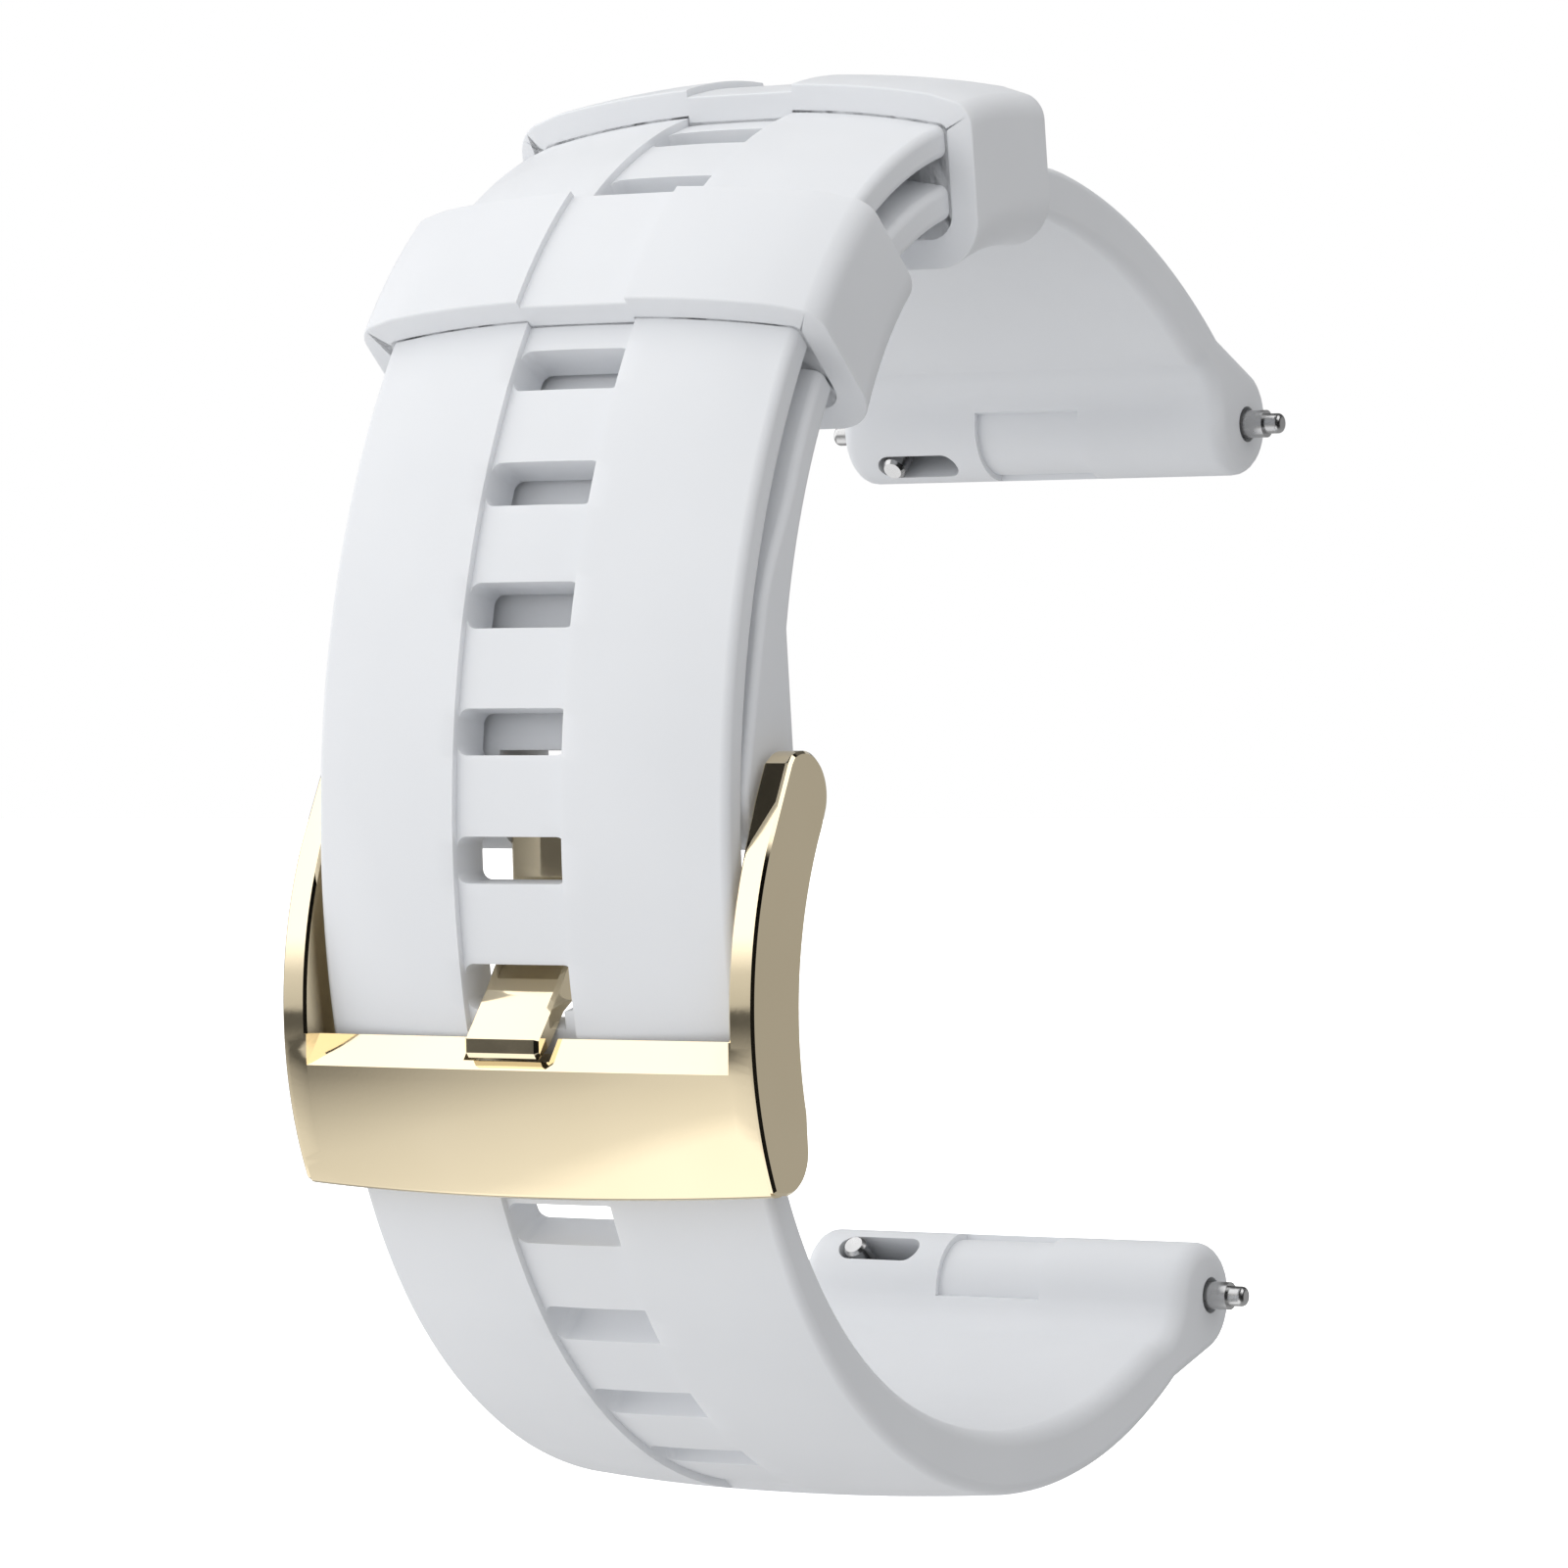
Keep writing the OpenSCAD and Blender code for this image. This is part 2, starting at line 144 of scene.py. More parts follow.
def depth_to(arcs, p, n):
    """How far inwards from p the inner arcs lie, or None past their end."""
    for c, r, a, b in arcs:
        dy, dz = p[0] - c[0], p[1] - c[1]
        along = dy * n[0] + dz * n[1]
        disc = along * along - (dy * dy + dz * dz - r * r)
        if disc < 0:
            continue
        t = along - math.sqrt(disc)
        deg = math.degrees(math.atan2(dz - t * n[1], dy - t * n[0])) % 360
        if min(a, b) - 0.02 <= deg <= max(a, b) + 0.02 and 0.3 < t < 7:
            return t
    return None


def smooth(a, b, x):
    t = min(1.0, max(0.0, (x - a) / (b - a)))
    return t * t * (3 - 2 * t)


def lerp(a, b, t):
    return a + (b - a) * t


# Barrel and inner fillet of a lug, about its bar; side is 1 for the lower lug, -1 for the upper one
BARREL_C, BARREL_R = (-0.4, -0.1), 2.5
FILLET_C, FILLET_R = (-5.0, 0.25), 2.1
RECESS_DEPTH, RECESS_FROM, RECESS_TURN, RECESS_HALF = 0.28, 80, 105, 2.7
LEVER_SLOT = dict(x0=-8.3, x1=-4.1, width=1.4, r0=0.0, r1=5.0)
LEVER_ANGLE = 140
# Edge radii of the straps at a lug, on its outer and inner side
LUG_RR = (0.6, 0.8)


def on_lug(p, bar, side, tilt):
    t = math.radians(tilt)
    q = (p[0], side * p[1])
    return (
        bar[0] + q[0] * math.cos(t) + q[1] * math.sin(t),
        bar[1] + q[1] * math.cos(t) - q[0] * math.sin(t),
    )


def lug_records(bar, side, tilt, outer_rr, inner_rr):
    """Profile points round a lug, from the outer face to the inner one."""
    out = []

    def add(c, r, deg, sign, rr):
        p = polar(c, r, deg)
        q = polar(c, r + sign, deg)
        a, b = on_lug(p, bar, side, tilt), on_lug(q, bar, side, tilt)
        out.append(dict(p=a, n=(b[0] - a[0], b[1] - a[1]), camber=0.0, rr=rr, groove=0.0))

    for i in range(1, 29):
        deg = -75 + 255 * i / 28
        add(BARREL_C, BARREL_R, deg, 1, lerp(outer_rr, inner_rr, smooth(0, 150, deg)))
    for i in range(1, 10):
        add(FILLET_C, FILLET_R, 350 - 88 * i / 10, -1, inner_rr)
    return out


# ---------------------------------------------------------------- mesh helpers
WELD = 2e-7


def new_object(name, bm):
    bmesh.ops.remove_doubles(bm, verts=bm.verts, dist=WELD)
    bmesh.ops.recalc_face_normals(bm, faces=bm.faces)
    mesh = bpy.data.meshes.new(name)
    bm.to_mesh(mesh)
    bm.free()
    obj = bpy.data.objects.new(name, mesh)
    bpy.context.scene.collection.objects.link(obj)
    return obj


def weight_edges(bm, test):
    """Marks the sharp convex edges that pass the test, for a Bevel modifier."""
    name = "bevel_weight_edge"
    bm.normal_update()
    layer = bm.edges.layers.float.get(name) or bm.edges.layers.float.new(name)
    for e in bm.edges:
        if len(e.link_faces) == 2 and e.calc_face_angle_signed(0) > 0.6 and test(e):
            e[layer] = 1.0


def bevel(obj, width, segments=2, method="WEIGHT", angle=35):
    m = obj.modifiers.new("bevel", "BEVEL")
    m.width = width * MM
    m.segments = segments
    m.limit_method = method
    m.angle_limit = math.radians(angle)
    m.use_clamp_overlap = True
    m.miter_outer = "MITER_SHARP"
    return m


def cut(obj, *cutters, operation="DIFFERENCE"):
    for c in cutters:
        m = obj.modifiers.new("cut", "BOOLEAN")
        m.operation = operation
        m.solver = "EXACT"
        m.object = c


def settle(obj, cutters=(), sharp=35):
    """Applies the modifiers, removes the cutters, and shades smooth between sharp edges."""
    deps = bpy.context.evaluated_depsgraph_get()
    deps.update()
    mesh = bpy.data.meshes.new_from_object(obj.evaluated_get(deps), depsgraph=deps)
    obj.modifiers.clear()
    old = obj.data
    obj.data = mesh
    bpy.data.meshes.remove(old)
    mesh.name = obj.name
    for c in cutters:
        bpy.data.objects.remove(c)
    for p in mesh.polygons:
        p.use_smooth = True
    mesh.set_sharp_from_angle(angle=math.radians(sharp))
    m = obj.modifiers.new("normals", "WEIGHTED_NORMAL")
    m.keep_sharp = True
    m.weight = 50


def crease(obj, angle, low, high):
    """Shades the edges in a box sharp where they bend by more than an angle, on both sides of X = 0."""
    bm = bmesh.new()
    bm.from_mesh(obj.data)
    for edge in bm.edges:
        spots = [(abs(v.co.x) / MM, v.co.y / MM, v.co.z / MM) for v in edge.verts]
        inside = all(a <= c <= b for spot in spots for a, c, b in zip(low, spot, high))
        bend = edge.calc_face_angle(0) if len(edge.link_faces) == 2 else 0
        if inside and bend > math.radians(angle):
            edge.smooth = False
    bm.to_mesh(obj.data)
    bm.free()


def inset(outline, d):
    """The closed outline of (y, z) points moved inwards by d."""
    n = len(outline)
    pairs = ((outline[i - 1], outline[i]) for i in range(n))
    turn = math.copysign(1.0, sum(p[0] * q[1] - q[0] * p[1] for p, q in pairs))
    out = []
    for i in range(n):
        a, b, c = (Vector(outline[k % n]) for k in (i - 1, i, i + 1))
        into = [Vector((-(q - p).y, (q - p).x)).normalized() * turn for p, q in ((a, b), (b, c))]
        mid = (into[0] + into[1]).normalized()
        out.append(tuple(b + mid * d / max(0.6, mid.dot(into[0]))))
    return out


def tube(bm, loops, capped=True):
    """Joins closed loops of equal length, one to the next, and closes both ends."""
    for a, b in zip(loops, loops[1:]):
        for i in range(len(a)):
            j = (i + 1) % len(a)
            bm.faces.new((a[i], a[j], b[j], b[i]))
    if capped:
        bm.faces.new(loops[0])
        bm.faces.new(loops[-1])


def prism(name, outline, x0, x1, edge=0.0):
    """A side-view outline of (y, z) points, extruded across X, with its rims chamfered by edge."""
    rows = [(x0, 0.0), (x1, 0.0)]
    if edge:
        rows = [(x0, edge), (x0 + edge, 0.0), (x1 - edge, 0.0), (x1, edge)]
    bm = bmesh.new()
    loops = []
    for x, d in rows:
        shape = inset(outline, d) if d else outline
        loops.append([bm.verts.new((x * MM, y * MM, z * MM)) for y, z in shape])
    tube(bm, loops)
    return new_object(name, bm)


def rod(name, c, r, x0, x1, n=48):
    return prism(name, [polar(c, r, 360 * i / n) for i in range(n)], x0, x1)


def slot_cutter(name, bar, deg, x0, x1, width, r0, r1):
    """Stadium-shaped cutter that points away from a bar at a polar angle."""
    a = math.radians(deg)
    out, across = Vector((0, math.cos(a), math.sin(a))), Vector((0, -math.sin(a), math.cos(a)))
    centre = Vector((0, bar[0], bar[1]))
    half = width / 2
    ring = arc((x1 - half, 0), half, -90, 90, 12) + arc((x0 + half, 0), half, 90, 270, 12)
    bm = bmesh.new()
    loops = []
    for r in (r0, r1):
        loops.append(
            [bm.verts.new((centre + out * r + across * w + Vector((x, 0, 0))) * MM) for x, w in ring]
        )
    tube(bm, loops)
    return new_object(name, bm)


# ---------------------------------------------------------------- straps
CAMBER_POWER = 2.2
EDGE_STEPS, HOLE_STEPS = 5, 5
STATION_STEP = 0.8


def columns(rr):
    """Stations across the strap as (x, in_groove, drop), from the left edge to the right one."""
    right = [(x, 1, 0.0) for x in (1.2, GROOVE_HALF - HOLE_R, GROOVE_HALF)]
    right.append((GROOVE_HALF, 0, 0.0))
    right += [(x, 0, 0.0) for x in (3.6, 4.8, 6.0, 7.2, 8.2)]
    for i in range(EDGE_STEPS + 1):
        t = math.radians(90 * i / EDGE_STEPS)
        right.append((STRAP_HALF - rr + rr * math.sin(t), 0, rr * (1 - math.cos(t))))
    return [(-x, g, d) for x, g, d in reversed(right)] + [(0.0, 1, 0.0)] + right


COLUMN_COUNT = len(columns(0.3))
MID = COLUMN_COUNT // 2
FLOOR_R, FLOOR_L = MID + 3, MID - 3
INSET_R, INSET_L = MID + 2, MID - 2


def place(rec, x, in_groove, drop):
    """A point of the strap's skin: the profile point moved inwards by camber, groove and rounding."""
    d = rec["camber"] * (abs(x) / STRAP_HALF) ** CAMBER_POWER + drop + rec["groove"] * in_groove
    return Vector((x, rec["p"][0] - rec["n"][0] * d, rec["p"][1] - rec["n"][1] * d)) * MM


def build_strap(name, path, inner_arcs, style, holes, lug, start):
    """Skins a strap: outer face along the path, round the lug, back along the inner face.

    style(s) gives camber, outer and inner edge radius and groove depth at length s.
    """
    marks = []
    for s in holes:
        marks += [s - HOLE_HALF, s - HOLE_HALF + HOLE_R, s, s + HOLE_HALF - HOLE_R, s + HOLE_HALF]
    stations = marks + [TAIL_END + 0.05]
    count = int(path.length / STATION_STEP)
    for i in range(count + 1):
        s = path.length * i / count
        clear = all(abs(s - m) > 0.25 for m in marks)
        if clear and not any(abs(s - h) < HOLE_HALF for h in holes):
            stations.append(s)
    stations.sort()

    def outer(s):
        p, n = path.at(s)
        camber, rr, _, groove = style(s)
        return dict(p=p, n=n, camber=camber, rr=rr, groove=groove)

    def inner(s):
        p, n = path.at(s)
        t = depth_to(inner_arcs, p, n)
        if t is None:
            return None
        _, _, rr, _ = style(s)
        q = (p[0] - n[0] * t, p[1] - n[1] * t)
        return dict(p=q, n=(-n[0], -n[1]), camber=0.0, rr=rr, groove=0.0)

    profile = [outer(s) for s in stations]
    outer_index = {s: i for i, s in enumerate(stations)}
    profile += lug
    inner_index = {}
    for s in reversed(stations):
        rec = inner(s)
        if rec:
            inner_index[s] = len(profile)
            profile.append(rec)
    profile += start

    bm = bmesh.new()
    grid = [[bm.verts.new(place(rec, *col)) for col in columns(rec["rr"])] for rec in profile]
    open_outer, open_inner = set(), set()
    for h in holes:
        row = [s for s in marks if abs(s - h) < HOLE_HALF + 0.01]
        for a in row[:-1]:
            open_outer.add(outer_index[a])
        for b in row[1:]:
            open_inner.add(inner_index[b])
    total = len(profile)
    for i in range(total):
        k = (i + 1) % total
        for j in range(COLUMN_COUNT - 1):
            if (i in open_outer or i in open_inner) and FLOOR_L <= j < FLOOR_R:
                continue
            bm.faces.new((grid[i][j], grid[i][j + 1], grid[k][j + 1], grid[k][j]))
    for j in (0, COLUMN_COUNT - 1):
        bm.faces.new([grid[i][j] for i in range(total)])

    for h in holes:
        row = [s for s in marks if abs(s - h) < HOLE_HALF + 0.01]
        loops = []
        for rec_at, index in ((outer, outer_index), (inner, inner_index)):
            first, last = index[row[0]], index[row[-1]]
            near, far = index[row[1]], index[row[3]]
            loop = []
            corners = (
                (first, near, row[0] + HOLE_R, -1, 1),
                (last, far, row[-1] - HOLE_R, 1, 1),
                (last, far, row[-1] - HOLE_R, 1, -1),
                (first, near, row[0] + HOLE_R, -1, -1),
            )
            for turn, (end, side, s_mid, s_sign, x_sign) in enumerate(corners):
                fj = FLOOR_R if x_sign > 0 else FLOOR_L
                ij = INSET_R if x_sign > 0 else INSET_L
                arc_pts = []
                for k in range(1, HOLE_STEPS):
                    t = math.radians(90 * k / HOLE_STEPS)
                    x = x_sign * (GROOVE_HALF - HOLE_R + HOLE_R * math.sin(t))
                    s = s_mid + s_sign * HOLE_R * math.cos(t)
                    arc_pts.append(bm.verts.new(place(rec_at(s), x, 1, 0.0)))
                chain = [grid[end][ij]] + arc_pts + [grid[side][fj]]
                bm.faces.new([grid[end][fj]] + chain)
                # walk round the hole: along the first end, up one side, back along the last end
                if turn in (1, 3):
                    chain.reverse()
                if turn == 0:
                    loop += chain + [grid[index[row[2]]][FLOOR_R]]
                elif turn == 1:
                    loop += chain + [grid[last][j] for j in range(INSET_R - 1, INSET_L, -1)]
                elif turn == 2:
                    loop += chain + [grid[index[row[2]]][FLOOR_L]]
                else:
                    loop += chain + [grid[first][j] for j in range(INSET_L + 1, INSET_R)]
            loops.append(loop)
        tube(bm, loops, capped=False)
    bmesh.ops.remove_doubles(bm, verts=bm.verts, dist=WELD)
    bmesh.ops.recalc_face_normals(bm, faces=bm.faces)
    weight_edges(bm, lambda e: max(abs(v.co.x) for v in e.verts) < (GROOVE_HALF + 0.1) * MM)
    return new_object(name, bm)


def hole_lengths(path, numbers):
    """Places of the numbered holes along the outer face, as in the CAD."""
    step = math.degrees(HOLE_PITCH / (FRONT_R - GROOVE_D))
    out = []
    for i in numbers:
        deg = FIRST_HOLE - i * step
        if deg < FRONT_TOP:
            past = (FRONT_TOP - deg) * (FRONT_R - GROOVE_D) / (UPPER_R - GROOVE_D)
            out.append(path.length_at(0, FRONT_TOP - past))
        elif deg > FRONT_BOTTOM:
            past = (deg - FRONT_BOTTOM) * (FRONT_R - GROOVE_D) / (LOWER_R - GROOVE_D)
            out.append(path.length_at(2, FRONT_BOTTOM + past))
        else:
            out.append(path.length_at(1, deg))
    return out


def lug_cutters(tag, bar, side, tilt):
    """Bore, lever slot and the shallow recess round the barrel."""
    end = RECESS_FROM + RECESS_TURN
    ring = arc(BARREL_C, BARREL_R - RECESS_DEPTH, RECESS_FROM, end, 14)
    ring += arc(BARREL_C, BARREL_R + 1.0, end, RECESS_FROM, 14)
    recess = [on_lug(p, bar, side, tilt) for p in ring]
    return [
        rod(tag + "_bore", bar, BORE_R, -BORE_HALF, BORE_HALF),
        slot_cutter(tag + "_slot", bar, side * LEVER_ANGLE, **LEVER_SLOT),
        prism(tag + "_recess", recess, -RECESS_HALF, RECESS_HALF),
    ]


# Hole side: from the tail tip over the front and round the bottom to the lower lug
hole_path = Path(
    [
        (UPPER_C, UPPER_R, TAIL_TIP, FRONT_TOP),
        (FRONT_C, FRONT_R, FRONT_TOP, FRONT_BOTTOM),
        (LOWER_C, LOWER_R, FRONT_BOTTOM, 270.0),
        (HEEL_C, HEEL_R, 270.0, HEEL_END),
    ]
)
hole_inner = [
    (UPPER_C, UPPER_R - STRAP_T, TAIL_TIP, FRONT_TOP),
    (FRONT_C, FRONT_R - STRAP_T, FRONT_TOP, INNER_FRONT_BOTTOM),
    (INNER_LOW_C, INNER_LOW_R, INNER_FRONT_BOTTOM, INNER_LOW_END),
    (INNER_HEEL_C, INNER_HEEL_R, INNER_LOW_END, INNER_HEEL_END),
]
GROOVE_TO = hole_path.length_at(2, 262)


def hole_side_style(s):
    end = hole_path.length
    near_lug = smooth(0.55 * end, 0.97 * end, s)
    groove = GROOVE_D if TAIL_END < s < GROOVE_TO else 0.0
    camber = lerp(1.0, 0.75, smooth(0.4 * end, 0.6 * end, s))
    camber *= 1 - smooth(0.7 * end, 0.98 * end, s)
    return camber, lerp(0.35, 0.6, near_lug), lerp(0.35, LUG_RR[1], near_lug), groove


strap_hole_side = build_strap(
    "hole_side",
    hole_path,
    hole_inner,
    hole_side_style,
    hole_lengths(hole_path, range(-5, 9)),
    lug_records(LOWER_BAR, 1, LOWER_TILT, *LUG_RR),
    [],
)
bevel(strap_hole_side, 0.1)
cutters = lug_cutters("lower", LOWER_BAR, 1, LOWER_TILT)
relief_outline = [
    (-19.5, -6.2), (-21.9, -5.9), (-22.9, -7.4), (-24, -9), (-24, -10.9), (-22.4, -9.75), (-20.2, -9.5),
]
relief = prism("relief", relief_outline, -TONGUE_HALF - 0.2, TONGUE_HALF + 0.2)
cut(strap_hole_side, *cutters, relief)
settle(strap_hole_side, cutters + [relief])

# Buckle side: from the pivot up the inside of the front and over the top to the upper lug
buckle_path = Path(
    [
        (UNDER_FRONT_C, UNDER_FRONT_R, UNDER_END, FRONT_TOP),
        (UPPER_C, UNDER_R, FRONT_TOP, 90.0),
        (CROWN_C, CROWN_R, 90.0, CROWN_END),
    ]
)
buckle_inner = [
    (UNDER_FRONT_C, UNDER_FRONT_R - UNDER_FRONT_T, UNDER_END, FRONT_TOP),
    (UPPER_C, UNDER_R - STRAP_T, FRONT_TOP, 90.0),
    (CROWN_IN_C, CROWN_IN_R, 90.0, CROWN_IN_END),
]


def buckle_side_style(s):
    end = buckle_path.length
    near_lug = smooth(0.6 * end, 0.97 * end, s)
    camber = 0.9 * smooth(0, 0.12 * end, s) * (1 - smooth(0.5 * end, 0.7 * end, s))
    return camber, lerp(0.35, 0.6, near_lug), lerp(0.4, LUG_RR[1], near_lug), 0.0


pivot_records = []
for i in range(1, 26):
    deg = 400 - 235 * i / 26
    at, normal = polar(PIVOT, PIVOT_BARREL_R, deg), polar((0, 0), 1, deg)
    pivot_records.append(dict(p=at, n=normal, camber=0.0, rr=0.35, groove=0.0))
strap_buckle_side = build_strap(
    "buckle_side",
    buckle_path,
    buckle_inner,
    buckle_side_style,
    [
        buckle_path.length_at(0, 156.5),
        buckle_path.length_at(1, 136.0),
        buckle_path.length_at(1, 104.0),
    ],
    lug_records(UPPER_BAR, -1, UPPER_TILT, *LUG_RR),
    pivot_records,
)
bevel(strap_buckle_side, 0.1)
cutters = lug_cutters("upper", UPPER_BAR, -1, UPPER_TILT)
cutters.append(rod("pivot_bore", PIVOT, BORE_R, -BORE_HALF, BORE_HALF))
slot_box = [(-26, -7), (-14, -7), (-14, 1.4), (-26, 1.4)]
cutters.append(prism("tongue_slot", slot_box, -TONGUE_HALF - 0.25, TONGUE_HALF + 0.25))
cut(strap_buckle_side, *cutters)
settle(strap_buckle_side, cutters)


# ---------------------------------------------------------------- keepers
KEEPER_HALF, KEEPER_CAVE = 11.35, 10.05
KEEPER_HALF_LEN = 3.25
KEEPER_RIM, KEEPER_GAP = 0.09, 0.006
KEEPER_TOP = 23.4
KEEPER_LOWER_AT, KEEPER_UPPER_AT = 139.5, 97.5
# Radii of the wall under the straps, outside and inside, at the far rim and at the near one
KEEPER_UNDER = ((15.85, 15.25), (16.95, 16.6))


def corner(cx, cr, rad, a0, a1, n):
    """Points and outward normals of a rounded corner, as (x, radius from the loop's centre)."""
    out = []
    for i in range(n + 1):
        a = math.radians(a0 + (a1 - a0) * i / n)
        out.append((cx + rad * math.cos(a), cr + rad * math.sin(a), math.cos(a), math.sin(a)))
    return out


def crowned(x, top, fall, half):
    """A point of the crowned top, with its outward normal."""
    slope = -fall * CAMBER_POWER / half * (x / half) ** (CAMBER_POWER - 1)
    k = 1 / math.hypot(1, slope)
    return (x, top - fall * (x / half) ** CAMBER_POWER, -slope * k, k)


def keeper_section(t):
    """Right half of the outer and inner outlines at t along the strap, from the middle of the top."""
    under_out, under_in = (lerp(a, b, (t / KEEPER_HALF_LEN + 1) / 2) for a, b in KEEPER_UNDER)
    groove = GROOVE_HALF - 0.02
    outer = [(x, KEEPER_TOP - GROOVE_D, 0.0, 1.0) for x in (0.0, 0.9, 1.8, groove)]
    crown = (groove + 0.02, 3.4, 4.4, 5.4, 6.4, 7.4, 8.4, 9.4)
    outer += [crowned(x, KEEPER_TOP, 1.2, KEEPER_HALF) for x in crown]
    outer += corner(KEEPER_HALF - 1.2, KEEPER_TOP - 2.3, 1.2, 66, 0, 8)
    outer += [(KEEPER_HALF, 20.4, 1.0, 0.0), (KEEPER_HALF, 19.4, 1.0, 0.0)]
    outer += corner(KEEPER_HALF - 2.0, under_out + 2.0, 2.0, 0, -90, 10)
    outer += [(x, under_out, 0.0, -1.0) for x in (7.6, 5.0, 2.5, 0.0)]
    # the inside follows the strap's face, groove and all, with a hair of clearance
    top = UPPER_R + KEEPER_GAP
    inner = [(x, top - GROOVE_D, 0.0, 1.0) for x in (0.0, 1.3, groove - 0.04)]
    crown = (groove - 0.02, 4.2, 5.4, 6.6, 7.6, 8.6, 9.3, 9.6)
    inner += [crowned(x, top, 1.0, STRAP_HALF) for x in crown]
    inner += corner(KEEPER_CAVE - 0.37, UPPER_R - 1.29, 0.37, 66, 0, 5)
    inner += [(KEEPER_CAVE, 19.6, 1.0, 0.0)]
    inner += corner(KEEPER_CAVE - 1.0, under_in + 1.0, 1.0, 0, -90, 6)
    inner += [(x, under_in, 0.0, -1.0) for x in (7.0, 4.0, 0.0)]
    return outer, inner


def mirrored(half_outline):
    left = [(-x, r, -nx, nr) for x, r, nx, nr in reversed(half_outline[1:-1])]
    return half_outline + left


def keeper(name, at_deg):
    """A rubber band of constant length along the strap, with flat ends and finely rounded rims."""
    a = math.radians(at_deg)
    radial, along = Vector((0, math.cos(a), math.sin(a))), Vector((0, -math.sin(a), math.cos(a)))
    centre = Vector((0, UPPER_C[0], UPPER_C[1]))
    rim = [math.radians(30 * i) for i in range(4)]
    rows = [(-KEEPER_HALF_LEN + KEEPER_RIM * (1 - math.cos(t)), 1 - math.sin(t)) for t in rim]
    body = [(lerp(rows[-1][0], -rows[-1][0], i / 8), 0.0) for i in range(1, 8)]
    rows = rows + body + [(-t, f) for t, f in reversed(rows)]
    bm = bmesh.new()
    skins = []
    for which, sign in ((0, -1), (1, 1)):
        skin = []
        for t, f in rows:
            loop = []
            for x, r, nx, nr in mirrored(keeper_section(t)[which]):
                r2 = r + sign * nr * KEEPER_RIM * f
                p = centre + radial * math.sqrt(r2 * r2 - t * t) + along * t
                loop.append(bm.verts.new(Vector((x + sign * nx * KEEPER_RIM * f, p.y, p.z)) * MM))
            skin.append(loop)
        skins.append(skin)
        tube(bm, skin, capped=False)
    for end in (0, -1):
        rim_edges = []
        for skin in skins:
            loop = skin[end]
            rim_edges += [bm.edges.get(pair) for pair in zip(loop, loop[1:] + loop[:1])]
        bmesh.ops.bridge_loops(bm, edges=rim_edges)
    obj = new_object(name, bm)
    settle(obj, sharp=40)
    return obj


keeper_lower = keeper("lower_loop_band", KEEPER_LOWER_AT)
keeper_upper = keeper("upper_loop_band", KEEPER_UPPER_AT)


# ---------------------------------------------------------------- buckle
ARM_IN, ARM_OUT = 10.3, 11.5
ARM_EDGE = 0.12
ARM_FRONT_C, ARM_FRONT_R = (-7.2, -9.02), 16.58
ARM_REAR_C, ARM_REAR_R = (-4.54, -9.07), 15.51
FOOT_C, FOOT_R = (-21.0, -14.95), 1.7
ARM_FRONT_END = 206.8


def arm_front(z):
    """Y of the arm's front edge at a height."""
    return ARM_FRONT_C[0] - math.sqrt(ARM_FRONT_R**2 - (z - ARM_FRONT_C[1]) ** 2)


# Below the pivot the arm's front is straight
FLAT_HEIGHTS = (0.84, 0.5, 0.1, -0.3, -0.7, -1.1, -1.5, -1.9, -2.3)
arm_outline = (
    arc(ARM_FRONT_C, ARM_FRONT_R, 157.5, ARM_FRONT_END, 44)
    + [(-21.76, -16.6)]
    + arc(FOOT_C, FOOT_R, 262, 372, 14)
    + arc(ARM_REAR_C, ARM_REAR_R, 196, 152, 30)
    + arc(PIVOT, 1.85, -15, 118, 24)
    + [(lerp(-20.8, -22.52, (0.84 - z) / 3.5), z) for z in FLAT_HEIGHTS]
)
BAR_STATIONS = 24
BAR_END = 11.25
BAR_BOW, BAR_FLUSH = 0.67, 11.3
BAR_TOP, BAR_EDGE = -10.4, -11.7
BAR_BACK = -22.63


def bar_outline(x):
    """Side-view outline of the front bar at a station across it; the face bows outwards.

    Between the arms its top slopes back to the strap; in front of an arm it runs on up the arm's face.
    """
    bow = BAR_BOW * (1 - (x / BAR_FLUSH) ** 2) - 0.01
    low = -0.35 * (1 - (x / ARM_OUT) ** 2)
    pts = []
    for i in range(5):
        t = i / 4
        z = lerp(BAR_TOP, BAR_EDGE, t)
        if abs(x) < ARM_IN:
            pts.append((lerp(BAR_BACK, arm_front(BAR_EDGE), t) - bow, z))
        else:
            pts.append((arm_front(z) + 0.01 * (1 - t) - bow * smooth(0, 1, t), z))
    first = 180 - math.degrees(math.asin((BAR_EDGE - ARM_FRONT_C[1]) / ARM_FRONT_R))
    for i in range(1, 12):
        y, z = polar(ARM_FRONT_C, ARM_FRONT_R, lerp(first, ARM_FRONT_END, i / 11))
        pts.append((y - bow, z + low * (i / 11) ** 2))
    y, z = pts[-1]
    pts += [(y + 0.06, z - 0.1), (y + 0.16, z - 0.16), (y + 0.34, z - 0.2)]
    pts += [(-21.2 - bow / 2, -16.68 + low), (-20.7, -16.5 + 0.6 * low)]
    pts += [(-20.45, -15.9), (-20.6, -14.6)]
    pts += arc(FRONT_C, FRONT_R + 0.15, 204.0, 195.4, 8)
    return pts


def bar_mesh(name):
    stations = [lerp(-BAR_END, BAR_END, i / BAR_STATIONS) for i in range(BAR_STATIONS + 1)]
    stations += [-ARM_IN, -ARM_IN + 0.02, ARM_IN - 0.02, ARM_IN]
    stations = sorted(x for x in stations if not 0.03 < abs(abs(x) - ARM_IN) < 0.3)
    bm = bmesh.new()
    loops = [[bm.verts.new((x * MM, y * MM, z * MM)) for y, z in bar_outline(x)] for x in stations]
    tube(bm, loops)
    return new_object(name, bm)


